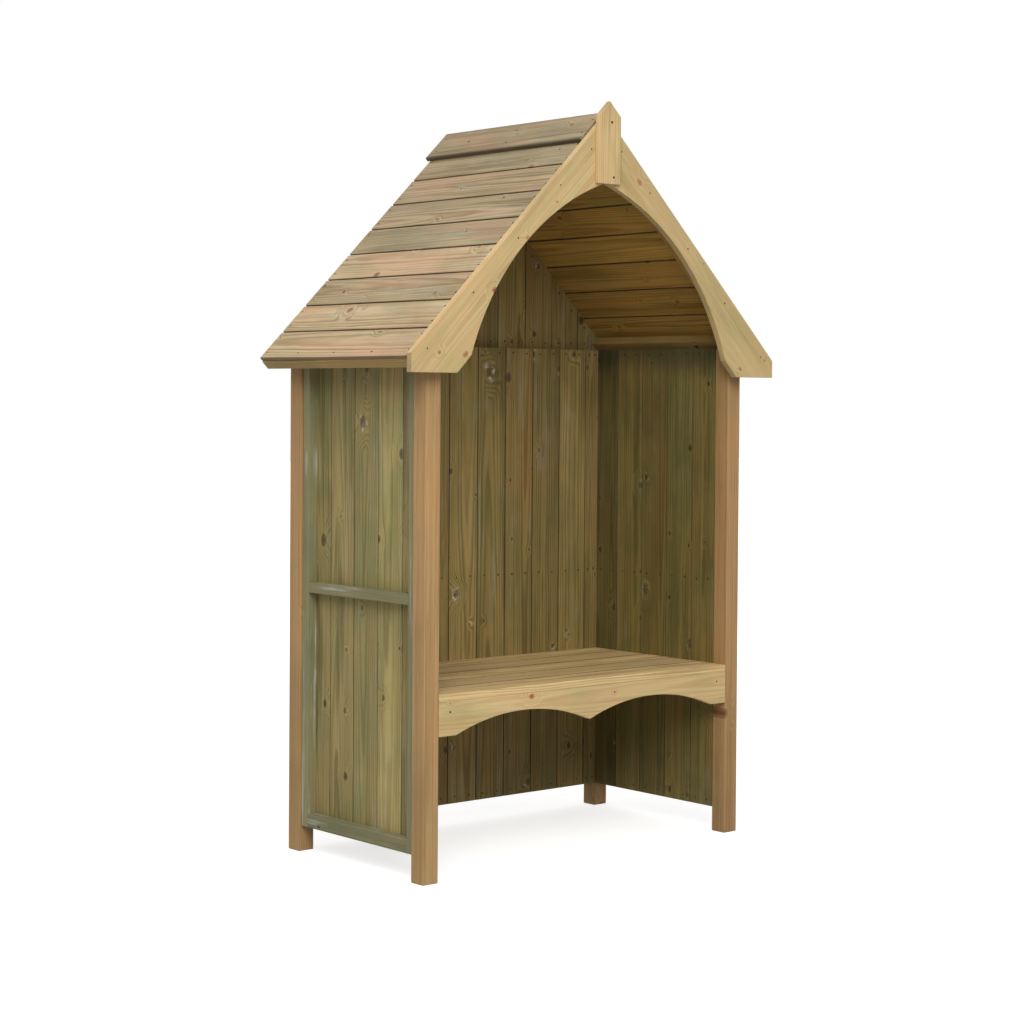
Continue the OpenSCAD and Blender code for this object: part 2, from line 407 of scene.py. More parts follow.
        height = g.add(g.mul(late, 0.35), g.mul(fibre, 0.55))
        height = g.add(height, g.math("SUBTRACT", g.mul(core, 0.5), g.mul(rim, 0.5)))
        bump = g.node("ShaderNodeBump")
        bump.inputs["Strength"].default_value = self.relief
        bump.inputs["Distance"].default_value = 0.9 * MM
        g.put(bump.inputs["Height"], height)
        shader = g.node("ShaderNodeBsdfPrincipled")
        g.put(shader.inputs["Base Color"], colour)
        g.put(shader.inputs["Roughness"], g.add(self.roughness - 0.08, g.mul(fibre, 0.16)))
        g.put(shader.inputs["Normal"], bump.outputs[0])
        shader.inputs["Specular IOR Level"].default_value = 0.3
        g.put(g.node("ShaderNodeOutputMaterial").inputs[0], shader.outputs[0])
        return made


@dataclass(frozen=True)
class NailFinish:
    """Dull nail and screw heads with a little rust."""

    name: str = "nail_steel"
    steel: Colour = paint(58, 50, 40)
    rust: Colour = paint(66, 40, 24)

    def material(self) -> bpy.types.Material:
        """Writes the finish as a material.

        Returns:
            The material.
        """
        made = bpy.data.materials.new(self.name)
        made.use_nodes = True
        made.node_tree.nodes.clear()
        g = Graph(made.node_tree)
        place = g.node("ShaderNodeTexCoord").outputs["Object"]
        spots = g.span(g.noise(place, 900.0, 3.0, 0.6), 0.42, 0.6)
        shader = g.node("ShaderNodeBsdfPrincipled")
        g.put(shader.inputs["Base Color"], g.blend(spots, self.steel, self.rust))
        g.put(shader.inputs["Roughness"], g.span(spots, 0.0, 1.0, 0.42, 0.8))
        shader.inputs["Metallic"].default_value = 0.35
        g.put(g.node("ShaderNodeOutputMaterial").inputs[0], shader.outputs[0])
        return made


class Finish(Enum):
    """The arbour's finishes by what they cover."""

    # The joint widths of the wall, back, seat and roof boards paint shade in the joints between boards.
    POST = TimberFinish("post_timber", paint(196, 160, 112), paint(150, 106, 60), paint(190, 142, 96),
                        paint(168, 150, 100), paint(116, 68, 38), contrast=0.55, green_share=0.2, knots=0.75,
                        knot_size=7 * MM, tone=0.08, ring=5 * MM, blush=0.45, vein=0.8, level=0.84)
    # Wall boards: their inner colour is painted shade on their inner faces.
    WALL = TimberFinish("wall_boards", paint(182, 166, 110), paint(110, 98, 54), paint(166, 130, 80),
                        paint(134, 142, 92), paint(70, 48, 28), contrast=0.72, warm_share=0.55, green_share=0.6,
                        knots=0.5, knot_size=9 * MM, tone=0.26, bloom=0.8, dirt=0.24, chalk=0.3,
                        # From 1.30 m up, the wall boards' inner faces darken as painted shade under the roof.
                        ring=6.5 * MM, inner=(0.60, 0.58, 0.44), joint=51.5 * MM, vein=0.35, roof_shade_from=1.30, level=0.84)
    BACK = TimberFinish("back_boards", paint(168, 148, 92), paint(98, 80, 40), paint(152, 114, 64),
                        paint(124, 124, 74), paint(64, 42, 24), contrast=0.78, warm_share=0.6, green_share=0.5,
                        knots=0.5, knot_size=9 * MM, tone=0.26, bloom=0.85, dirt=0.26, chalk=0.22,
                        ring=6.5 * MM, joint=51.8 * MM, vein=0.35, level=0.88)
    BATTEN = TimberFinish("wall_battens", paint(158, 154, 114), paint(112, 106, 70), paint(154, 138, 98),
                          paint(136, 138, 106), paint(80, 60, 40), contrast=0.6, green_share=0.5, knots=0.35,
                          knot_size=5 * MM, chalk=0.8, level=0.78)
    SEAT = TimberFinish("seat_boards", paint(208, 184, 136), paint(150, 120, 74), paint(200, 160, 112),
                        paint(184, 170, 122), paint(118, 80, 50), contrast=0.78, green_share=0.3, knots=0.3,
                        tone=0.12, knot_size=6 * MM, ring=5 * MM, joint=50.6 * MM, one_edge=True, vein=0.8,
                        level=1.16)
    TRIM = TimberFinish("front_trim", paint(214, 190, 140), paint(174, 136, 84), paint(212, 168, 124),
                        paint(186, 182, 124), paint(130, 78, 50), contrast=0.52, warm_share=0.5,
                        green_share=0.34, knots=0.85, knot_size=6 * MM, tone=0.05, dirt=0.08,
                        ring=5 * MM, blush=0.35, level=0.97)
    # Roof boards: their inner colour is painted shade with a browner tint on their undersides.
    ROOF = TimberFinish("roof_boards", paint(204, 184, 142), paint(126, 102, 66), paint(196, 154, 124),
                        paint(168, 162, 132), paint(100, 64, 42), contrast=0.74, warm_share=0.65,
                        green_share=0.42, knots=0.45, knot_size=7.5 * MM, tone=0.2, dirt=0.2, chalk=0.3,
                        ring=6.5 * MM, inner=(0.98, 0.78, 0.32), joint=50.4 * MM, inner_joint=0.66,
                        blush=0.42, vein=0.35, level=0.84)
    LEAN = TimberFinish("roof_battens", paint(182, 152, 96), paint(132, 98, 54), paint(164, 120, 72),
                        paint(146, 132, 80), paint(92, 58, 34), contrast=0.6, knots=0.35, knot_size=5 * MM)
    NAIL = NailFinish()


class Side(Enum):
    """The arbour's two halves, seen from the front."""

    LEFT = -1
    RIGHT = 1

    @property
    def word(self) -> str:
        """Returns the side's name as the nodes use it."""
        return self.name.lower()


@dataclass
class Workshop:
    """Keeps what every sub-assembly shares: materials, node trees and the random draws."""

    seed: int = 11
    materials: dict[Finish, bpy.types.Material] = field(default_factory=dict)
    trees: dict[str, bpy.types.NodeTree] = field(default_factory=dict)

    def __post_init__(self) -> None:
        """Starts the random draws."""
        self.dice = random.Random(self.seed)

    def material(self, finish: Finish) -> bpy.types.Material:
        """Returns a finish's material, written once."""
        if finish not in self.materials:
            self.materials[finish] = finish.value.material()
        return self.materials[finish]

    def board_shares(self) -> Vector:
        """Returns the three random shares of one board."""
        return Vector((self.dice.random(), self.dice.random(), self.dice.random()))


# ---------------------------------------------------------------- timbers


@dataclass
class Lie:
    """How a timber lies: the middle of its start face, and unit vectors along, across and through it."""

    start: Vector
    along: Vector
    across: Vector

    @property
    def through(self) -> Vector:
        """Returns the unit vector through the thickness."""
        return self.along.cross(self.across)

    def matrix(self) -> Matrix:
        """Returns the matrix from the timber's own axes to the frame's."""
        made = Matrix.Identity(4)
        for i, axis in enumerate((self.along, self.across, self.through)):
            made.col[i] = (*axis, 0.0)
        made.col[3] = (*self.start, 1.0)
        return made


@dataclass
class Cut:
    """A saw cut: what lies beyond the plane in the direction of its normal is taken away."""

    at: Vector
    normal: Vector


class TimberPiece:
    """One named piece made of one or more timbers that share a finish."""

    def __init__(self, shop: Workshop, name: str, finish: Finish) -> None:
        """Starts an empty piece.

        Args:
            shop: what the sub-assemblies share.
            name: the piece's name.
            finish: what covers it.
        """
        self.shop = shop
        self.name = name
        self.finish = finish
        self.mesh = bpy.data.meshes.new(name)
        self.whole = bmesh.new()
        self.layers(self.whole)

    @staticmethod
    def layers(bm: bmesh.types.BMesh) -> tuple:
        """Returns the mesh's own layers for the finish, made where they are missing."""
        verts, faces = bm.verts.layers.float_vector, bm.faces.layers.float
        return (verts.get("grain") or verts.new("grain"), verts.get("board") or verts.new("board"),
                faces.get("end") or faces.new("end"))

    def _keep(self, bm: bmesh.types.BMesh, lie: Lie) -> None:
        """Writes the grain of one finished timber and adds it to the piece.

        Args:
            bm: the timber, in the frame's axes.
            lie: how it lies.
        """
        grain, board, end = self.layers(bm)
        back = lie.matrix().inverted()
        shares = self.shop.board_shares()
        for v in bm.verts:
            v[grain] = back @ v.co
            v[board] = shares
        for f in bm.faces:
            f[end] = 1.0 if abs(f.normal.dot(lie.along)) > 0.5 else 0.0
        part = bpy.data.meshes.new("part")
        bm.to_mesh(part)
        bm.free()
        self.whole.from_mesh(part)
        bpy.data.meshes.remove(part)

    def bar(self, lie: Lie, size: tuple[float, float, float], ease: float = 1.6 * MM,
            cuts: Iterable[Cut] = ()) -> None:
        """Adds a straight timber with eased edges.

        Args:
            lie: how it lies.
            size: its length, width and thickness.
            ease: how far its edges are rounded.
            cuts: saw cuts made before the edges are eased.
        """
        bm = bmesh.new()
        self.layers(bm)
        length, width, thick = size
        bmesh.ops.create_cube(bm, size=1.0)
        bmesh.ops.scale(bm, vec=(length, width, thick), verts=bm.verts)
        bmesh.ops.translate(bm, vec=(length / 2, 0, 0), verts=bm.verts)
        bmesh.ops.transform(bm, matrix=lie.matrix(), verts=bm.verts)
        for cut in cuts:
            found = bmesh.ops.bisect_plane(bm, geom=bm.verts[:] + bm.edges[:] + bm.faces[:], plane_co=cut.at,
                                           plane_no=cut.normal, clear_outer=True)
            rim = [e for e in found["geom_cut"] if isinstance(e, bmesh.types.BMEdge)]
            if rim:
                bmesh.ops.contextual_create(bm, geom=rim)
        self._finish_solid(bm, lie, ease)

    def shaped(self, outline: Sequence[Vector], depth: Vector, lie: Lie, ease: float = 1.6 * MM) -> None:
        """Adds a board sawn to an outline.

        Args:
            outline: its front face's corners, in order.
            depth: the way from the front face to the back face.
            lie: how its grain lies.
            ease: how far its edges are rounded.
        """
        bm = bmesh.new()
        self.layers(bm)
        face = bm.faces.new([bm.verts.new(p) for p in outline])
        back = bmesh.ops.extrude_face_region(bm, geom=[face])
        bmesh.ops.translate(bm, vec=depth, verts=[v for v in back["geom"] if isinstance(v, bmesh.types.BMVert)])
        self._finish_solid(bm, lie, ease)

    def _finish_solid(self, bm: bmesh.types.BMesh, lie: Lie, ease: float) -> None:
        """Eases a solid's sharp edges, turns its faces outwards and adds it to the piece.

        Args:
            bm: the solid.
            lie: how its grain lies.
            ease: how far its edges are rounded.
        """
        bmesh.ops.recalc_face_normals(bm, faces=bm.faces)
        sharp = [e for e in bm.edges if len(e.link_faces) == 2 and e.calc_face_angle(0) > math.radians(20)]
        bmesh.ops.bevel(bm, geom=sharp, offset=ease, segments=2, profile=0.6, affect="EDGES",
                        clamp_overlap=True)
        bmesh.ops.recalc_face_normals(bm, faces=bm.faces)
        bm.normal_update()
        self._keep(bm, lie)

    def done(self, slot: str, *nodes: str) -> bpy.types.Object:
        """Finishes the piece and hands it to the frame.

        Args:
            slot: the record's material slot; it is passed on but not used.
            nodes: the frame's nodes that it stands for.

        Returns:
            The piece.
        """
        self.whole.to_mesh(self.mesh)
        self.whole.free()
        self.mesh.materials.append(self.shop.material(self.finish))
        made = bpy.data.objects.new(self.name, self.mesh)
        return hand_over(made, slot, *nodes)


def hand_over(piece: bpy.types.Object, slot: Optional[str], *nodes: str) -> bpy.types.Object:
    """Puts a piece in the scene and on the frame's body.

    Args:
        piece: the finished piece.
        slot: its material slot in the record, or None; not used.
        nodes: the frame's nodes that it stands for.

    Returns:
        The piece.
    """
    if piece.name not in bpy.context.scene.collection.objects:
        bpy.context.scene.collection.objects.link(piece)
    for face in piece.data.polygons:
        face.use_smooth = False
    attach(piece, "root")
    if nodes:
        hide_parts(*nodes)
    LOG.info("%s: %d faces, stands for %s", piece.name, len(piece.data.polygons), ", ".join(nodes) or "nothing")
    return piece


# ---------------------------------------------------------------- repeats


def new_tree(name: str, inputs: Sequence[tuple[str, str]]) -> tuple[Graph, bpy.types.Node, bpy.types.Node]:
    """Starts a geometry tree with named inputs.

    Args:
        name: the tree's name.
        inputs: pairs of input name and socket type.

    Returns:
        The graph, its group input and its group output.
    """
    tree = bpy.data.node_groups.new(name, "GeometryNodeTree")
    tree.interface.new_socket("Geometry", in_out="INPUT", socket_type="NodeSocketGeometry")
    for label, kind in inputs:
        tree.interface.new_socket(label, in_out="INPUT", socket_type=kind)
    tree.interface.new_socket("Geometry", in_out="OUTPUT", socket_type="NodeSocketGeometry")
    g = Graph(tree)
    return g, g.node("NodeGroupInput"), g.node("NodeGroupOutput")


def run_tree(name: str, tree: bpy.types.NodeTree, mesh: bpy.types.Mesh, values: dict[str, object],
             place: Matrix) -> bpy.types.Object:
    """Runs a geometry tree once and keeps its result as a plain mesh.

    Args:
        name: the new object's name.
        tree: the tree.
        mesh: the mesh that it starts from.
        values: its inputs by name.
        place: where the result lies in the frame.

    Returns:
        The object, with no modifier left.
    """
    made = bpy.data.objects.new(name, mesh)
    bpy.context.scene.collection.objects.link(made)
    modifier = made.modifiers.new("made", "NODES")
    modifier.node_group = tree
    for item in tree.interface.items_tree:
        if item.item_type == "SOCKET" and item.in_out == "INPUT" and item.name in values:
            modifier[item.identifier] = values[item.name]
    graph = bpy.context.evaluated_depsgraph_get()
    result = bpy.data.meshes.new_from_object(made.evaluated_get(graph))
    made.modifiers.clear()
    made.data = result
    result.name = name
    result.transform(place)
    return made


def board_row_tree() -> bpy.types.NodeTree:
    """Writes the tree for a row of tongued boards.

    Its boards run up Z, lie side by side along X and are thick along Y. The first and the last may
    be ripped narrower. A thin tongue closes each joint.

    Returns:
        The tree.
    """
    g, into, out = new_tree("board_row", (
        ("Length", "NodeSocketFloat"), ("Cover", "NodeSocketFloat"), ("Thickness", "NodeSocketFloat"),
        ("Count", "NodeSocketInt"), ("First Width", "NodeSocketFloat"), ("Last Width", "NodeSocketFloat"),
        ("Gap", "NodeSocketFloat"), ("Ease", "NodeSocketFloat"), ("Play", "NodeSocketFloat"),
        ("Seed", "NodeSocketInt"), ("Finish", "NodeSocketMaterial")))
    o = into.outputs

    def solid(width: Value, thick: Value, ease: Optional[Value]) -> Socket:
        """Returns a closed bar of the row's length with a rounded section."""
        section = g.node("GeometryNodeCurvePrimitiveQuadrilateral")
        g.put(section.inputs["Width"], width)
        g.put(section.inputs["Height"], thick)
        curve = section.outputs[0]
        if ease is not None:
            rounded = g.node("GeometryNodeFilletCurve")
            for item in rounded.inputs:
                if item.name == "Mode":
                    item.default_value = "Poly"
            if hasattr(rounded, "mode"):
                rounded.mode = "POLY"
            g.put(rounded.inputs["Curve"], curve)
            rounded.inputs["Count"].default_value = 3
            g.put(rounded.inputs["Radius"], ease)
            curve = rounded.outputs[0]
        fill = g.node("GeometryNodeFillCurve")
        if hasattr(fill, "mode"):
            fill.mode = "NGONS"
        g.put(fill.inputs["Curve"], curve)
        pulled = g.node("GeometryNodeExtrudeMesh", mode="FACES")
        g.put(pulled.inputs["Mesh"], fill.outputs[0])
        g.put(pulled.inputs["Offset"], g.vector(0.0, 0.0, o["Length"]))
        pulled.inputs["Individual"].default_value = False
        turned = g.node("GeometryNodeFlipFaces")
        g.put(turned.inputs["Mesh"], fill.outputs[0])
        both = g.node("GeometryNodeJoinGeometry")
        g.put(both.inputs[0], turned.outputs[0])
        g.put(both.inputs[0], pulled.outputs["Mesh"])
        closed = g.node("GeometryNodeMergeByDistance")
        g.put(closed.inputs["Geometry"], both.outputs[0])
        closed.inputs["Distance"].default_value = 0.00001
        return closed.outputs[0]

    body = solid(g.math("SUBTRACT", o["Cover"], o["Gap"]), o["Thickness"], o["Ease"])
    tongue = solid(g.add(o["Gap"], 0.008), g.mul(o["Thickness"], 0.3), None)
    moved = g.node("GeometryNodeTransform")
    g.put(moved.inputs["Geometry"], tongue)
    g.put(moved.inputs["Translation"], g.vector(g.mul(o["Cover"], 0.5), g.mul(o["Thickness"], -0.05), 0.0))
    spot = g.parts(g.node("GeometryNodeInputPosition").outputs[0])
    facing = g.parts(g.node("GeometryNodeInputNormal").outputs[0])

    def marked(shape: Socket) -> Socket:
        """Returns a bar with its grain and its sawn ends written on it."""
        for name, kind, domain, value in (
                ("grain", "FLOAT_VECTOR", "POINT", g.vector(spot[2], spot[0], spot[1])),
                ("end", "FLOAT", "FACE", g.math("GREATER_THAN", g.math("ABSOLUTE", facing[2]), 0.7))):
            written = g.node("GeometryNodeStoreNamedAttribute", data_type=kind, domain=domain)
            g.put(written.inputs["Geometry"], shape)
            written.inputs["Name"].default_value = name
            g.put(written.inputs["Value"], value)
            shape = written.outputs[0]
        return shape

    index = g.node("GeometryNodeInputIndex").outputs[0]
    last = g.math("SUBTRACT", o["Count"], 1.0)
    is_first = g.math("LESS_THAN", index, 0.5)
    is_last = g.math("GREATER_THAN", index, g.math("SUBTRACT", last, 0.5))
    inside = g.math("SUBTRACT", g.math("SUBTRACT", 1.0, is_first), is_last)
    x_inside = g.add(o["First Width"], g.mul(g.math("SUBTRACT", index, 0.5), o["Cover"]))
    x_last = g.add(g.add(o["First Width"], g.mul(g.math("SUBTRACT", last, 1.0), o["Cover"])),
                   g.mul(o["Last Width"], 0.5))
    x = g.add(g.add(g.mul(is_first, g.mul(o["First Width"], 0.5)), g.mul(inside, x_inside)),
              g.mul(is_last, x_last))
    stretch = g.add(inside, g.math("DIVIDE", g.add(g.mul(is_first, o["First Width"]),
                                                   g.mul(is_last, o["Last Width"])), o["Cover"]))
    play = g.node("FunctionNodeRandomValue", data_type="FLOAT")
    for socket in [s for s in play.inputs if s.type == "VALUE"]:
        if socket.name == "Min":
            g.put(socket, -1.0)
        if socket.name == "Max":
            g.put(socket, 1.0)
    g.put(play.inputs["Seed"], g.add(o["Seed"], 7.0))
    wander = g.mul([s for s in play.outputs if s.type == "VALUE"][0], o["Play"])
    line = g.node("GeometryNodeMeshLine")
    g.put(line.inputs["Count"], o["Count"])
    spread = g.node("GeometryNodeSetPosition")
    g.put(spread.inputs["Geometry"], line.outputs[0])
    g.put(spread.inputs["Position"], g.vector(x, wander, 0.0))
    copies = g.node("GeometryNodeJoinGeometry")
    # A join lists its latest link first, and the boards lead so that their shares follow their order.
    for shape, chosen in ((moved.outputs[0], g.math("SUBTRACT", 1.0, is_last)), (body, 1.0)):
        placed = g.node("GeometryNodeInstanceOnPoints")
        g.put(placed.inputs["Points"], spread.outputs[0])
        g.put(placed.inputs["Instance"], marked(shape))
        g.put(placed.inputs["Scale"], g.vector(stretch, 1.0, 1.0))
        if isinstance(chosen, bpy.types.NodeSocket):
            g.put(placed.inputs["Selection"], chosen)
        g.put(copies.inputs[0], placed.outputs[0])
    shares = g.node("FunctionNodeRandomValue", data_type="FLOAT_VECTOR")
    g.put(shares.inputs["Seed"], o["Seed"])
    kept = g.node("GeometryNodeStoreNamedAttribute", data_type="FLOAT_VECTOR", domain="INSTANCE")
    g.put(kept.inputs["Geometry"], copies.outputs[0])
    kept.inputs["Name"].default_value = "board"
    g.put(kept.inputs["Value"], [s for s in shares.outputs if s.type == "VECTOR"][0])
    real = g.node("GeometryNodeRealizeInstances")
    g.put(real.inputs[0], kept.outputs[0])
    painted = g.node("GeometryNodeSetMaterial")
    g.put(painted.inputs["Geometry"], real.outputs[0])
    g.put(painted.inputs["Material"], o["Finish"])
    g.put(out.inputs[0], painted.outputs[0])
    return g.tree


def nail_tree() -> bpy.types.NodeTree:
    """Writes the tree that drives a nail at each point, facing the way that its "facing" says.

    Returns:
        The tree.
    """
    g, into, out = new_tree("nails", (("Radius", "NodeSocketFloat"), ("Height", "NodeSocketFloat"),
                                      ("Seed", "NodeSocketInt"), ("Finish", "NodeSocketMaterial")))
    o = into.outputs
    shank = g.node("GeometryNodeMeshCylinder")
    shank.inputs["Vertices"].default_value = 10
    g.put(shank.inputs["Radius"], o["Radius"])
    g.put(shank.inputs["Depth"], g.mul(o["Height"], 2.0))
    crown = g.node("GeometryNodeMeshCone")
    crown.inputs["Vertices"].default_value = 10
    g.put(crown.inputs["Radius Bottom"], g.mul(o["Radius"], 0.92))
    g.put(crown.inputs["Radius Top"], g.mul(o["Radius"], 0.5))
    g.put(crown.inputs["Depth"], g.mul(o["Height"], 0.35))
    lifted = g.node("GeometryNodeTransform")
    g.put(lifted.inputs["Geometry"], crown.outputs[0])
    g.put(lifted.inputs["Translation"], g.vector(0.0, 0.0, o["Height"]))
    head = g.node("GeometryNodeJoinGeometry")
    g.put(head.inputs[0], shank.outputs[0])
    g.put(head.inputs[0], lifted.outputs[0])
    facing = g.node("GeometryNodeInputNamedAttribute", data_type="FLOAT_VECTOR")
    facing.inputs["Name"].default_value = "facing"
    turn = g.node("FunctionNodeAlignRotationToVector", axis="Z")
    g.put(turn.inputs["Vector"], facing.outputs[0])
    wear = g.node("FunctionNodeRandomValue", data_type="FLOAT")
    for socket in [s for s in wear.inputs if s.type == "VALUE"]:
        if socket.name == "Min":
            g.put(socket, 0.85)
        if socket.name == "Max":
            g.put(socket, 1.1)
    g.put(wear.inputs["Seed"], o["Seed"])
    copies = g.node("GeometryNodeInstanceOnPoints")
    g.put(copies.inputs["Points"], into.outputs[0])
    g.put(copies.inputs["Instance"], head.outputs[0])
    g.put(copies.inputs["Rotation"], turn.outputs[0])
    g.put(copies.inputs["Scale"], [s for s in wear.outputs if s.type == "VALUE"][0])
    real = g.node("GeometryNodeRealizeInstances")
    g.put(real.inputs[0], copies.outputs[0])
    painted = g.node("GeometryNodeSetMaterial")
    g.put(painted.inputs["Geometry"], real.outputs[0])
    g.put(painted.inputs["Material"], o["Finish"])
    g.put(out.inputs[0], painted.outputs[0])
    return g.tree


@dataclass
class BoardRow:
    """A row of tongued boards that fills a panel."""

    shop: Workshop
    name: str
    finish: Finish
    place: Matrix
    length: float
    width: float
    thickness: float
    cover: float
    first: float
    last: float
    seed: int
    gap: float = 1.6 * MM
    ease: float = 2.2 * MM
    play: float = 0.25 * MM

    @property
    def count(self) -> int:
        """Returns how many boards fill the width."""
        return round((self.width - self.first - self.last) / self.cover) + 2

    def middles(self) -> list[float]:
        """Returns the middle of each board across the panel."""
        inner = [self.first + (i + 0.5) * self.cover for i in range(self.count - 2)]
        return [self.first / 2, *inner, self.width - self.last / 2]

    def nail_lines(self) -> list[float]:
        """Returns where the nails' upright lines lie: two to a board, a quarter of its width in."""
        widths = [self.first, *[self.cover] * (self.count - 2), self.last]
        return [m + off * w for m, w in zip(self.middles(), widths) for off in (-0.25, 0.25)]

    def build(self, slot: str, *nodes: str) -> bpy.types.Object:
        """Makes the row and hands it over.

        Args:
            slot: the record's material slot; it is passed on but not used.
            nodes: the frame's nodes that it stands for.

        Returns:
            The piece.
        """
        if "board_row" not in self.shop.trees:
            self.shop.trees["board_row"] = board_row_tree()
        cover = (self.width - self.first - self.last) / (self.count - 2)
        made = run_tree(self.name, self.shop.trees["board_row"], bpy.data.meshes.new("seedling"), {
            "Length": self.length, "Cover": cover, "Thickness": self.thickness, "Count": self.count,
            "First Width": self.first, "Last Width": self.last, "Gap": self.gap, "Ease": self.ease,
            "Play": self.play, "Seed": self.seed, "Finish": self.shop.material(self.finish)}, self.place)
        return hand_over(made, slot, *nodes)


@dataclass
class Nails:
    """Nail heads gathered from one sub-assembly."""

    shop: Workshop
    name: str
    seed: int
    radius: float = 2.9 * MM
    height: float = 0.45 * MM
    spots: list[tuple[Vector, Vector]] = field(default_factory=list)

    def drive(self, at: Vector, facing: Vector) -> None:
        """Adds a nail a little off the given place, as a hand would drive it."""
        off = Vector([self.shop.dice.uniform(-1.6, 1.6) * MM for _ in range(3)])
        self.spots.append((at + off - facing * off.dot(facing), facing))

    def build(self) -> bpy.types.Object:
        """Makes the nails and hands them over.

        Returns:
            The piece.
        """
        if "nails" not in self.shop.trees:
            self.shop.trees["nails"] = nail_tree()
        mesh = bpy.data.meshes.new(self.name)
        mesh.from_pydata([p for p, _ in self.spots], [], [])
        facing = mesh.attributes.new("facing", "FLOAT_VECTOR", "POINT")
        for item, (_, way) in zip(facing.data, self.spots):
            item.vector = way
        made = run_tree(self.name, self.shop.trees["nails"], mesh, {
            "Radius": self.radius, "Height": self.height, "Seed": self.seed,
            "Finish": self.shop.material(Finish.NAIL)}, Matrix.Identity(4))
        return hand_over(made, None)


def frame_matrix(start: Vector, x: Vector, y: Vector, z: Vector) -> Matrix:
    """Returns the matrix that puts a row's own X, Y and Z along the given vectors from its start."""
    made = Matrix.Identity(4)
    for i, axis in enumerate((x, y, z)):
        made.col[i] = (*axis, 0.0)
    made.col[3] = (*start, 1.0)
    return made


# ---------------------------------------------------------------- sub-assemblies


@dataclass
class Posts:
    """Four square posts with eased edges."""

    shop: Workshop
    ease: float = 3.0 * MM

    def build(self) -> None:
        """Makes each post on its own node's box."""
        for end in ("front", "rear"):
            for side in Side:
                node = f"post_{end}_{side.word}"
                lo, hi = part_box(node)
                piece = TimberPiece(self.shop, f"{node}_timber", Finish.POST)
                middle = (lo + hi) / 2
                piece.bar(Lie(Vector((middle.x, middle.y, lo.z)), Z, X),
                          (hi.z - lo.z, hi.x - lo.x, hi.y - lo.y), self.ease)
                piece.done("post_timber", node)


@dataclass
class SideWall:
    """A boarded side panel in its batten frame."""

    shop: Workshop
    side: Side
    cover: float = 106.0 * MM
    batten: float = 28.0 * MM
    low_rail: float = 37.0 * MM
    mid_rail: float = 716.0 * MM

    def rail_heights(self, lo: Vector, hi: Vector) -> list[tuple[float, float]]:
        """Returns the low edge and the height of each rail."""
        return [(lo.z, self.low_rail), (self.mid_rail, self.batten), (hi.z - self.batten, self.batten)]

    def build(self) -> None:
        """Makes the boards, the stiles, the rails and the nails."""
        w = self.side.word
        lo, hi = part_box(f"side_boards_{w}")
        width, thick = hi.y - lo.y, hi.x - lo.x
        rip = (width - 3 * self.cover) / 2
        away = X * self.side.value
        start = Vector(((lo.x + hi.x) / 2, hi.y if self.side is Side.RIGHT else lo.y, lo.z))
        row = BoardRow(self.shop, f"side_wall_boards_{w}", Finish.WALL,
                       frame_matrix(start, away.cross(Z), away, Z),
                       hi.z - lo.z, width, thick, self.cover, rip, rip, 21 if self.side is Side.LEFT else 22)
        row.build("wall_boards", f"side_boards_{w}")

        slo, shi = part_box(f"side_stiles_{w}")
        stiles = TimberPiece(self.shop, f"side_wall_stiles_{w}", Finish.BATTEN)
        mid_x, deep = (slo.x + shi.x) / 2, shi.x - slo.x
        for y in (slo.y + self.batten / 2, shi.y - self.batten / 2):
            stiles.bar(Lie(Vector((mid_x, y, slo.z)), Z, Y), (shi.z - slo.z, self.batten, deep), 1.8 * MM)
        stiles.done("wall_battens", f"side_stiles_{w}")

        rlo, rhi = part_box(f"side_rails_{w}")
        rails = TimberPiece(self.shop, f"side_wall_rails_{w}", Finish.BATTEN)
        nails = Nails(self.shop, f"side_wall_nails_{w}", 31)
        inner = lo.x if self.side is Side.RIGHT else hi.x
        for low, high in self.rail_heights(rlo, rhi):
            rails.bar(Lie(Vector((mid_x, rlo.y, low + high / 2)), Y, Z), (rhi.y - rlo.y, high, deep), 1.8 * MM)
            for line in row.nail_lines():
                nails.drive(Vector((inner, lo.y + line, low + high / 2)), -X * self.side.value)
        rails.done("wall_battens", f"side_rails_{w}")
        nails.build()


@dataclass
class BackWall:
    """The boarded back panel in its batten frame."""

    shop: Workshop
    cover: float = 106.8 * MM
    batten: float = 28.0 * MM
    low_rail: float = 37.0 * MM
    mid_rail: float = 716.0 * MM

    def build(self) -> None:
        """Makes the boards, the stiles, the rails and the nails."""
        lo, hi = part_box("back_boards")
        width = hi.x - lo.x
        rip = (width - 9 * self.cover) / 2
        row = BoardRow(self.shop, "back_wall_boards", Finish.BACK,
                       frame_matrix(Vector((lo.x, (lo.y + hi.y) / 2, lo.z)), X, Y, Z), hi.z - lo.z, width,
                       hi.y - lo.y, self.cover, rip, rip, 23)
        row.build("wall_boards", "back_boards")

        slo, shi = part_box("back_stiles")
        stiles = TimberPiece(self.shop, "back_wall_stiles", Finish.BATTEN)
        mid_y, deep = (slo.y + shi.y) / 2, shi.y - slo.y
        for x in (slo.x + self.batten / 2, shi.x - self.batten / 2):
            stiles.bar(Lie(Vector((x, mid_y, slo.z)), Z, X), (shi.z - slo.z, self.batten, deep), 1.8 * MM)
        stiles.done("wall_battens", "back_stiles")

        rlo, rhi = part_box("back_rails")
        rails = TimberPiece(self.shop, "back_wall_rails", Finish.BATTEN)
        nails = Nails(self.shop, "back_wall_nails", 32)
        for low, high in ((rlo.z, self.low_rail), (self.mid_rail, self.batten), (rhi.z - self.batten, self.batten)):
            rails.bar(Lie(Vector((rlo.x, mid_y, low + high / 2)), X, Z), (rhi.x - rlo.x, high, deep), 1.8 * MM)
            for line in row.nail_lines():
                nails.drive(Vector((lo.x + line, lo.y, low + high / 2)), -Y)
        rails.done("wall_battens", "back_rails")
        nails.build()


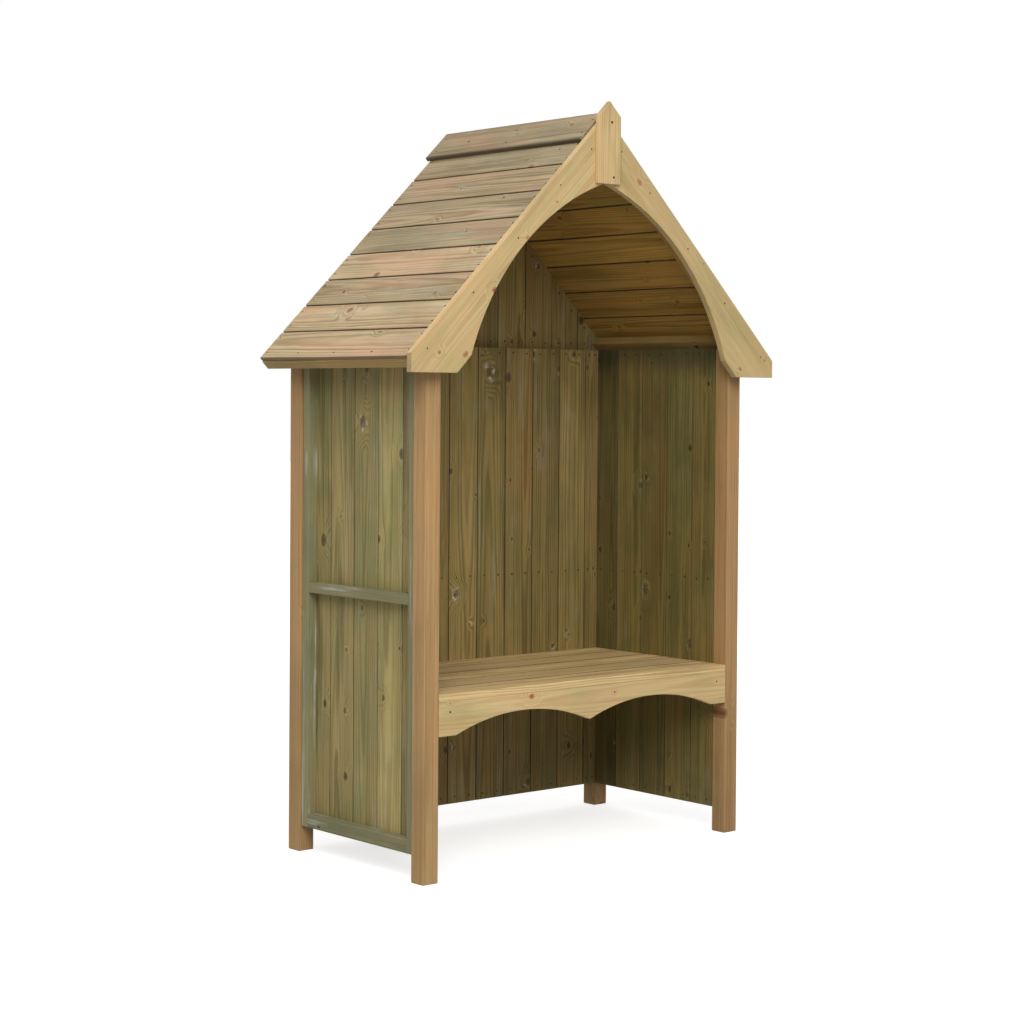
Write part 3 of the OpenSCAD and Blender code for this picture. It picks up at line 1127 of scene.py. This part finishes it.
@dataclass
class Slope:
    """The geometry of the roof's slopes, read from their nodes."""

    pitch: float = math.radians(44.5)
    board: float = 12.0 * MM
    batten: float = 28.0 * MM

    def __post_init__(self) -> None:
        """Reads the roof boards' box."""
        lo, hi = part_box("roof_boards_right")
        self.half = hi.x
        self.front, self.rear = lo.y, hi.y
        self.eave = hi.z - self.half * math.tan(self.pitch)

    def up(self, side: Side) -> Vector:
        """Returns the unit vector up a slope."""
        return Vector((-side.value * math.cos(self.pitch), 0, math.sin(self.pitch)))

    def out(self, side: Side) -> Vector:
        """Returns the unit vector out of a slope."""
        return Vector((side.value * math.sin(self.pitch), 0, math.cos(self.pitch)))

    def at(self, side: Side, u: float, depth: float, y: float) -> Vector:
        """Finds a point on or under a slope.

        Args:
            side: which slope.
            u: how far up from the eave.
            depth: how far below the boards' top.
            y: the place from front to rear.

        Returns:
            The point.
        """
        tip = Vector((side.value * self.half, y, self.eave))
        return tip + self.up(side) * u - self.out(side) * depth

    def top(self, depth: float) -> float:
        """Returns how far up the slope the layer at a depth meets the middle of the arbour."""
        return (self.half - depth * math.sin(self.pitch)) / math.cos(self.pitch)


@dataclass
class Gable:
    """The boarded gable over the back wall and the rail behind it."""

    shop: Workshop
    slope: Slope
    cover: float = 106.8 * MM
    rail: float = 36.0 * MM

    def build(self) -> None:
        """Makes the boards, sawn to the slopes, their tongues, the rail and the nails."""
        lo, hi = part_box("gable_boards")
        thick, mid_y = hi.y - lo.y, (lo.y + hi.y) / 2
        under = self.slope.board + 0.1 * MM
        cuts = [Cut(self.slope.at(side, 0.0, under, mid_y), self.slope.out(side)) for side in Side]
        cuts += [Cut(Vector((hi.x, 0, 0)), X), Cut(Vector((lo.x, 0, 0)), -X)]
        piece = TimberPiece(self.shop, "gable_wall_boards", Finish.BACK)
        nails = Nails(self.shop, "gable_nails", 33)
        reach = hi.z - lo.z + 0.05
        # The middle board is centred, as in the back wall, so the joints of the two line up.
        for i in range(-5, 6):
            x = i * self.cover
            if abs(x) < hi.x:
                play = self.shop.dice.uniform(-0.2, 0.2) * MM
                piece.bar(Lie(Vector((x, mid_y + play, lo.z)), Z, X), (reach, self.cover - 1.2 * MM, thick),
                          1.4 * MM, cuts)
            joint = x + self.cover / 2
            if abs(joint) < hi.x - 0.02:
                piece.bar(Lie(Vector((joint, mid_y, lo.z + 0.002)), Z, X), (reach, 9 * MM, 4 * MM), 0.3 * MM, cuts)
            for off in (-0.25, 0.25):
                at = x + off * self.cover
                high = self.slope.eave + (self.slope.half - abs(at)) * math.tan(self.slope.pitch)
                if abs(at) < 0.54:
                    nails.drive(Vector((at, lo.y, lo.z + 0.020)), -Y)
                    nails.drive(Vector((at, lo.y, max(high - 0.042, lo.z + 0.04))), -Y)
        piece.done("wall_boards", "gable_boards")
        nails.build()

        rlo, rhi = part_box("gable_rail")
        rail = TimberPiece(self.shop, "gable_back_rail", Finish.LEAN)
        deck = self.slope.board + self.slope.batten
        ends = [Cut(self.slope.at(side, 0.0, deck + 0.1 * MM, 0), self.slope.out(side)) for side in Side]
        rail.bar(Lie(Vector((rlo.x, (rlo.y + rhi.y) / 2, (rlo.z + rhi.z) / 2)), X, Z),
                 (rhi.x - rlo.x, rhi.z - rlo.z, rhi.y - rlo.y), 1.6 * MM, ends)
        rail.done("wall_battens", "gable_rail")


@dataclass
class RoofSide:
    """One boarded slope with its battens and its ridge cap."""

    shop: Workshop
    slope: Slope
    side: Side
    cover: float = 106.5 * MM
    rail: float = 36.0 * MM
    ridge: float = 40.0 * MM
    cap: float = 110.0 * MM
    spare: float = 6.0 * MM

    def boards(self) -> None:
        """Makes the courses of boards and their nails."""
        s, side = self.slope, self.side
        run = s.top(s.board)
        last = run - 8 * self.cover
        length = s.rear - s.front
        if side is Side.RIGHT:
            place = frame_matrix(s.at(side, 0, s.board / 2, s.front), s.up(side), s.out(side), Y)
        else:
            place = frame_matrix(s.at(side, 0, s.board / 2, s.rear), s.up(side), s.out(side), -Y)
        row = BoardRow(self.shop, f"roof_slope_boards_{side.word}", Finish.ROOF, place, length, run, s.board,
                       self.cover, self.cover, last, 24 if side is Side.LEFT else 25, gap=4.4 * MM,
                       ease=2.4 * MM, play=0.2 * MM)
        row.build("roof_boards", f"roof_boards_{side.word}")
        nails = Nails(self.shop, f"roof_slope_nails_{side.word}", 34, radius=2.7 * MM)
        for middle in row.middles()[:-1]:
            for off in (-0.27, 0.27):
                u = middle + off * self.cover
                for y in (s.front + 0.014, s.rear - 0.014):
                    nails.drive(s.at(side, u, 0, y), s.out(side))
        for i in range(3):
            nails.drive(s.at(side, 0.018, 0, s.front + length * (0.25 + 0.25 * i)), s.out(side))
        nails.build()

    def battens(self) -> None:
        """Makes the rafters, the eave rail, the bearing rail and the ridge rail."""
        s, side, w = self.slope, self.side, self.side.word
        middle = Cut(Vector((0, 0, 0)), -X * side.value)
        deep = s.board + s.batten / 2 + 0.02 * MM
        size_t = s.batten - 0.04 * MM

        rafters = TimberPiece(self.shop, f"roof_rafters_{w}", Finish.LEAN)
        lo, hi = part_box(f"rafters_{w}")
        wide = 28.0 * MM
        for y in (lo.y + wide / 2, hi.y - wide / 2):
            lie = Lie(s.at(side, self.rail, deep, y), s.up(side), Y)
            rafters.bar(lie, (s.top(s.board) - self.rail + 0.02, wide, size_t), 1.5 * MM, [middle])
        rafters.done("roof_battens", f"rafters_{w}")

        lo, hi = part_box(f"eave_rail_{w}")
        eave = TimberPiece(self.shop, f"roof_eave_rail_{w}", Finish.LEAN)
        eave.bar(Lie(s.at(side, self.rail / 2, deep, lo.y), Y, s.up(side)), (hi.y - lo.y, self.rail, size_t), 1.5 * MM)
        eave.done("roof_battens", f"eave_rail_{w}")

        lo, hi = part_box(f"bearing_rail_{w}")
        bearing = TimberPiece(self.shop, f"roof_bearing_rail_{w}", Finish.LEAN)
        outer = max(abs(lo.x), abs(hi.x))
        u = (s.half - outer - s.board * math.sin(s.pitch)) / math.cos(s.pitch)
        bearing.bar(Lie(s.at(side, u + self.rail / 2, deep, lo.y), Y, s.up(side)),
                    (hi.y - lo.y, self.rail, size_t), 1.5 * MM, [Cut(Vector((0, 0, lo.z)), -Z)])
        bearing.done("roof_battens", f"bearing_rail_{w}")

        lo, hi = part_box(f"ridge_rail_{w}")
        ridge = TimberPiece(self.shop, f"roof_ridge_rail_{w}", Finish.LEAN)
        u = s.top(s.board) - self.ridge
        ridge.bar(Lie(s.at(side, u + self.ridge / 2, deep, lo.y), Y, s.up(side)),
                  (hi.y - lo.y, self.ridge, size_t), 1.2 * MM, [middle])
        ridge.done("roof_battens", f"ridge_rail_{w}")

    def ridge_cap(self) -> None:
        """Makes the cap board and its nails."""
        s, side, w = self.slope, self.side, self.side.word
        lo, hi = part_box(f"ridge_cap_{w}")
        thick = s.board
        u = s.top(-thick) - self.cap
        piece = TimberPiece(self.shop, f"roof_ridge_cap_{w}", Finish.ROOF)
        # The board starts past the ridge, so that the mitre's cut meets none of its corners.
        wide = self.cap + self.spare
        lie = Lie(s.at(side, u + wide / 2, -thick / 2, lo.y if side is Side.RIGHT else hi.y),
                  Y * side.value, s.up(side))
        piece.bar(lie, (hi.y - lo.y, wide, thick), 1.8 * MM, [Cut(Vector((0, 0, 0)), -X * side.value)])
        piece.done("roof_boards", f"ridge_cap_{w}")
        nails = Nails(self.shop, f"ridge_cap_nails_{w}", 35, radius=2.7 * MM)
        for y in (s.front + 0.016, s.front + 0.33, s.rear - 0.014):
            for off in (0.25, 0.75):
                nails.drive(s.at(side, u + self.cap * off, -thick, y), s.out(side))
        nails.build()

    def build(self) -> None:
        """Makes the whole slope."""
        self.boards()
        self.battens()
        self.ridge_cap()


@dataclass
class FrontArch:
    """The two bargeboards that make the pointed arch, and the finial over their joint."""

    shop: Workshop
    slope: Slope
    foot: float = 150.0 * MM
    bevel: float = 46.0 * MM
    end: float = 49.0 * MM
    apex: float = 183.0 * MM
    bulge: float = 80.0 * MM
    sunk: float = 0.6 * MM
    steps: int = 56

    def curve(self, foot: Vector, point: Vector) -> list[Vector]:
        """Finds the arch's curve.

        Args:
            foot: where it starts, as X and Z.
            point: where it ends over the middle.

        Returns:
            Its points from foot to point, both included.
        """
        chord = point - foot
        length = chord.length
        radius = (length * length / 4 + self.bulge * self.bulge) / (2 * self.bulge)
        normal = Vector((-chord.y, chord.x)) / length
        if normal.dot(foot + point) > 0:
            normal = -normal
        centre = (foot + point) / 2 + normal * (radius - self.bulge)
        a0 = math.atan2(foot.y - centre.y, foot.x - centre.x)
        a1 = math.atan2(point.y - centre.y, point.x - centre.x)
        return [centre + Vector((math.cos(a), math.sin(a))) * radius
                for a in (a0 + (a1 - a0) * i / self.steps for i in range(self.steps + 1))]

    def bargeboard(self, side: Side) -> None:
        """Makes one bargeboard and its nails."""
        lo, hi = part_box(f"bargeboard_{side.word}")
        half = max(abs(lo.x), abs(hi.x))
        tan = math.tan(self.slope.pitch)
        out_z = hi.z - half * tan
        foot = Vector((half - self.foot - self.bevel, lo.z + self.bevel))
        curve = self.curve(foot, Vector((0.0, hi.z - self.apex)))
        flat = [Vector((half, out_z)), Vector((half, lo.z)), Vector((half - self.foot, lo.z)), *curve,
                Vector((0.0, hi.z))]
        outline = [Vector((side.value * p.x, lo.y, p.y)) for p in flat]
        piece = TimberPiece(self.shop, f"front_bargeboard_{side.word}", Finish.TRIM)
        lie = Lie(self.slope.at(side, 0, 0.05, lo.y + (hi.y - lo.y) / 2), self.slope.up(side), self.slope.out(side))
        piece.shaped(outline, Y * (hi.y - lo.y), lie, 1.6 * MM)
        piece.done("front_trim", f"bargeboard_{side.word}")
        nails = Nails(self.shop, f"bargeboard_nails_{side.word}", 36, radius=2.4 * MM)
        for u, depth in ((0.05, 0.022), (0.26, 0.020), (0.47, 0.022), (0.68, 0.02), (0.83, 0.024)):
            nails.drive(self.slope.at(side, u, depth, lo.y), -Y)
        nails.build()

    def finial(self) -> None:
        """Makes the finial and its two screws."""
        lo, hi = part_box("finial")
        half = (hi.x - lo.x) / 2
        shoulder = hi.z - half * math.tan(self.slope.pitch)
        flat = [(-half, lo.z), (half, lo.z), (half, shoulder), (0.0, hi.z), (-half, shoulder)]
        face = lo.y + self.sunk
        outline = [Vector((x, face, z)) for x, z in flat]
        piece = TimberPiece(self.shop, "front_finial", Finish.TRIM)
        piece.shaped(outline, Y * (hi.y - face), Lie(Vector((0.012, (lo.y + hi.y) / 2, lo.z)), Z, X), 1.8 * MM)
        piece.done("front_trim", "finial")
        screws = Nails(self.shop, "finial_screws", 37, radius=3.4 * MM, height=0.3 * MM)
        for x, z in ((0.008, shoulder - 0.018), (0.014, lo.z + 0.020)):
            screws.drive(Vector((x, face, z)), -Y)
        screws.build()

    def build(self) -> None:
        """Makes the arch."""
        for side in Side:
            self.bargeboard(side)
        self.finial()


@dataclass
class Bench:
    """The slatted seat, its scalloped apron and the bearers under it."""

    shop: Workshop
    flat: float = 58.0 * MM
    rise: float = 46.0 * MM
    steps: int = 28

    def boards(self) -> None:
        """Makes the seat boards and their nails."""
        nails = Nails(self.shop, "seat_nails", 38, radius=2.2 * MM)
        for i in range(1, 6):
            node = f"seat_board_{i}"
            lo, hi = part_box(node)
            piece = TimberPiece(self.shop, f"{node}_timber", Finish.SEAT)
            # The edge of each board with the painted joint shade is the one in a joint, so the front board is turned
            # round.
            piece.bar(Lie(Vector((lo.x, (lo.y + hi.y) / 2, (lo.z + hi.z) / 2)), X, Y if i == 1 else -Y),
                      (hi.x - lo.x, hi.y - lo.y, hi.z - lo.z), 2.6 * MM)
            piece.done("seat_boards", node)
            for x in (lo.x + 0.014, 0.0, hi.x - 0.014):
                for y in (lo.y + 0.026, hi.y - 0.026):
                    nails.drive(Vector((x, y, hi.z)), Z)
        nails.build()

    def apron(self) -> None:
        """Makes the apron with its two low arches, and its nails."""
        lo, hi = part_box("seat_apron")
        half = (hi.x - self.flat) / 2
        radius = (half * half + self.rise * self.rise) / (2 * self.rise)
        spread = math.asin(half / radius)
        low = []
        for middle in (-half, half):
            for i in range(self.steps + 1):
                a = -spread + 2 * spread * i / self.steps
                low.append((middle + radius * math.sin(a), lo.z + self.rise - radius * (1 - math.cos(a))))
        del low[self.steps + 1]
        flat = [(lo.x, lo.z), *low, (hi.x, lo.z), (hi.x, hi.z), (lo.x, hi.z)]
        outline = [Vector((x, lo.y, z)) for x, z in flat]
        piece = TimberPiece(self.shop, "seat_apron_board", Finish.TRIM)
        piece.shaped(outline, Y * (hi.y - lo.y), Lie(Vector((lo.x, (lo.y + hi.y) / 2, hi.z - 0.03)), X, Z), 1.6 * MM)
        piece.done("front_trim", "seat_apron")
        nails = Nails(self.shop, "seat_apron_nails", 39, radius=2.6 * MM)
        for x in (lo.x + 0.036, hi.x - 0.036):
            nails.drive(Vector((x, lo.y, hi.z - 0.027)), -Y)
        nails.build()

    def bearers(self) -> None:
        """Makes the bearers under the seat."""
        for word in ("left", "right", "back", "centre"):
            node = f"seat_bearer_{word}"
            lo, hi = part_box(node)
            piece = TimberPiece(self.shop, f"{node}_timber", Finish.LEAN)
            mid = (lo + hi) / 2
            if word == "back":
                piece.bar(Lie(Vector((lo.x, mid.y, mid.z)), X, Z), (hi.x - lo.x, hi.z - lo.z, hi.y - lo.y))
            else:
                piece.bar(Lie(Vector((mid.x, lo.y, mid.z)), Y, Z), (hi.y - lo.y, hi.z - lo.z, hi.x - lo.x))
            piece.done("roof_battens", node)

    def build(self) -> None:
        """Makes the bench."""
        self.boards()
        self.apron()
        self.bearers()


# ---------------------------------------------------------------- studio


@dataclass
class Studio:
    """Floor, backdrop, lamps and camera."""

    eye: Vector = field(default_factory=lambda: Vector((-4.0609, -4.6719, 1.2543)))
    yaw: float = math.radians(40.0817)
    pitch: float = math.radians(-1.2605)
    roll: float = math.radians(0.3735)
    lens: float = 77.086
    shift: tuple[float, float] = (0.0239, -0.0649)
    sky: float = 0.62

    def camera(self) -> None:
        """Makes the camera."""
        data = bpy.data.cameras.new("view")
        made = bpy.data.objects.new("view", data)
        bpy.context.scene.collection.objects.link(made)
        ahead = Vector((math.sin(self.yaw) * math.cos(self.pitch), math.cos(self.yaw) * math.cos(self.pitch),
                        math.sin(self.pitch)))
        right = Vector((math.cos(self.yaw), -math.sin(self.yaw), 0))
        up = right.cross(ahead)
        c, s = math.cos(self.roll), math.sin(self.roll)
        right, up = right * c + up * s, up * c - right * s
        turn = Matrix((right, up, -ahead)).transposed()
        made.matrix_world = Matrix.Translation(self.eye) @ turn.to_4x4()
        data.sensor_width = 36
        data.lens = self.lens
        data.shift_x, data.shift_y = self.shift
        data.clip_end = 60
        bpy.context.scene.camera = made

    def seen(self, g: Graph) -> Socket:
        """Returns 1 on rays from the camera, from gloss and through glass."""
        path = g.node("ShaderNodeLightPath")
        some = g.math("MAXIMUM", path.outputs["Is Camera Ray"], path.outputs["Is Glossy Ray"])
        return g.math("MAXIMUM", some, path.outputs["Is Transmission Ray"])

    def world(self) -> None:
        """Makes the world: a soft sky that is white where it is seen."""
        world = bpy.data.worlds.new("soft_sky")
        bpy.context.scene.world = world
        world.use_nodes = True
        world.node_tree.nodes.clear()
        g = Graph(world.node_tree)
        way = g.parts(g.node("ShaderNodeTexCoord").outputs["Generated"])
        high = g.span(way[2], -0.25, 0.85)
        light = g.node("ShaderNodeBackground")
        g.put(light.inputs[0], g.blend(high, (0.30, 0.29, 0.26), (1.0, 1.0, 1.0)))
        light.inputs[1].default_value = self.sky
        white = g.node("ShaderNodeBackground")
        white.inputs[0].default_value = (1, 1, 1, 1)
        white.inputs[1].default_value = 1.0
        both = g.node("ShaderNodeMixShader")
        g.put(both.inputs[0], self.seen(g))
        g.put(both.inputs[1], light.outputs[0])
        g.put(both.inputs[2], white.outputs[0])
        g.put(g.node("ShaderNodeOutputWorld").inputs[0], both.outputs[0])

    def floor(self) -> None:
        """Makes the pale floor, which keeps the arbour's shadow."""
        mesh = bpy.data.meshes.new("floor")
        reach = 30.0
        mesh.from_pydata([(-reach, -reach, 0), (reach, -reach, 0), (reach, reach, 0), (-reach, reach, 0)], [],
                         [(0, 1, 2, 3)])
        made = bpy.data.objects.new("floor", mesh)
        bpy.context.scene.collection.objects.link(made)
        paper = bpy.data.materials.new("pale_floor")
        paper.use_nodes = True
        paper.node_tree.nodes.clear()
        g = Graph(paper.node_tree)
        dull = g.node("ShaderNodeBsdfDiffuse")
        dull.inputs[0].default_value = (0.54, 0.54, 0.52, 1)
        bright = g.node("ShaderNodeBsdfDiffuse")
        bright.inputs[0].default_value = (0.6, 0.6, 0.6, 1)
        glow = g.node("ShaderNodeEmission")
        glow.inputs[0].default_value = (1, 1, 1, 1)
        away = g.vmath("LENGTH", g.node("ShaderNodeTexCoord").outputs["Object"])
        g.put(glow.inputs[1], g.span(away, 0.8, 4.0, 0.72, 1.0))
        lit = g.node("ShaderNodeAddShader")
        g.put(lit.inputs[0], bright.outputs[0])
        g.put(lit.inputs[1], glow.outputs[0])
        both = g.node("ShaderNodeMixShader")
        g.put(both.inputs[0], self.seen(g))
        g.put(both.inputs[1], dull.outputs[0])
        g.put(both.inputs[2], lit.outputs[0])
        g.put(g.node("ShaderNodeOutputMaterial").inputs[0], both.outputs[0])
        mesh.materials.append(paper)

    def lamp(self, name: str, at: tuple, aim: tuple, size: float, power: float, tint: Colour) -> None:
        """Adds a soft square lamp.

        Args:
            name: its name.
            at, aim: where it is and what it points at.
            size: its side.
            power: its power in watts.
            tint: its colour.
        """
        data = bpy.data.lights.new(name, "AREA")
        data.shape = "SQUARE"
        data.size = size
        data.energy = power
        data.color = tint
        made = bpy.data.objects.new(name, data)
        made.location = at
        made.rotation_euler = (Vector(aim) - Vector(at)).to_track_quat("-Z", "Y").to_euler()
        bpy.context.scene.collection.objects.link(made)

    def build(self) -> None:
        """Makes the studio."""
        self.camera()
        self.world()
        self.floor()
        self.lamp("key", (-3.5, -4.6, 4.4), (0, 0, 1.2), 3.4, 262.0, (1.0, 0.985, 0.95))
        self.lamp("top", (-1.2, -0.6, 5.4), (0, 0, 1.2), 3.0, 45.0, (1.0, 1.0, 1.0))
        scene = bpy.context.scene
        scene.view_settings.view_transform = "Standard"


def main() -> None:
    """Builds the arbour in order, then the studio."""
    logging.basicConfig(level=logging.INFO, format="%(name)s: %(message)s")
    shop = Workshop()
    slope = Slope()
    parts = [Posts(shop), SideWall(shop, Side.LEFT), SideWall(shop, Side.RIGHT), BackWall(shop),
             Gable(shop, slope), RoofSide(shop, slope, Side.LEFT), RoofSide(shop, slope, Side.RIGHT),
             FrontArch(shop, slope), Bench(shop), Studio()]
    for part in parts:
        LOG.info("building %s", type(part).__name__)
        part.build()


if __name__ == "__main__":
    main()
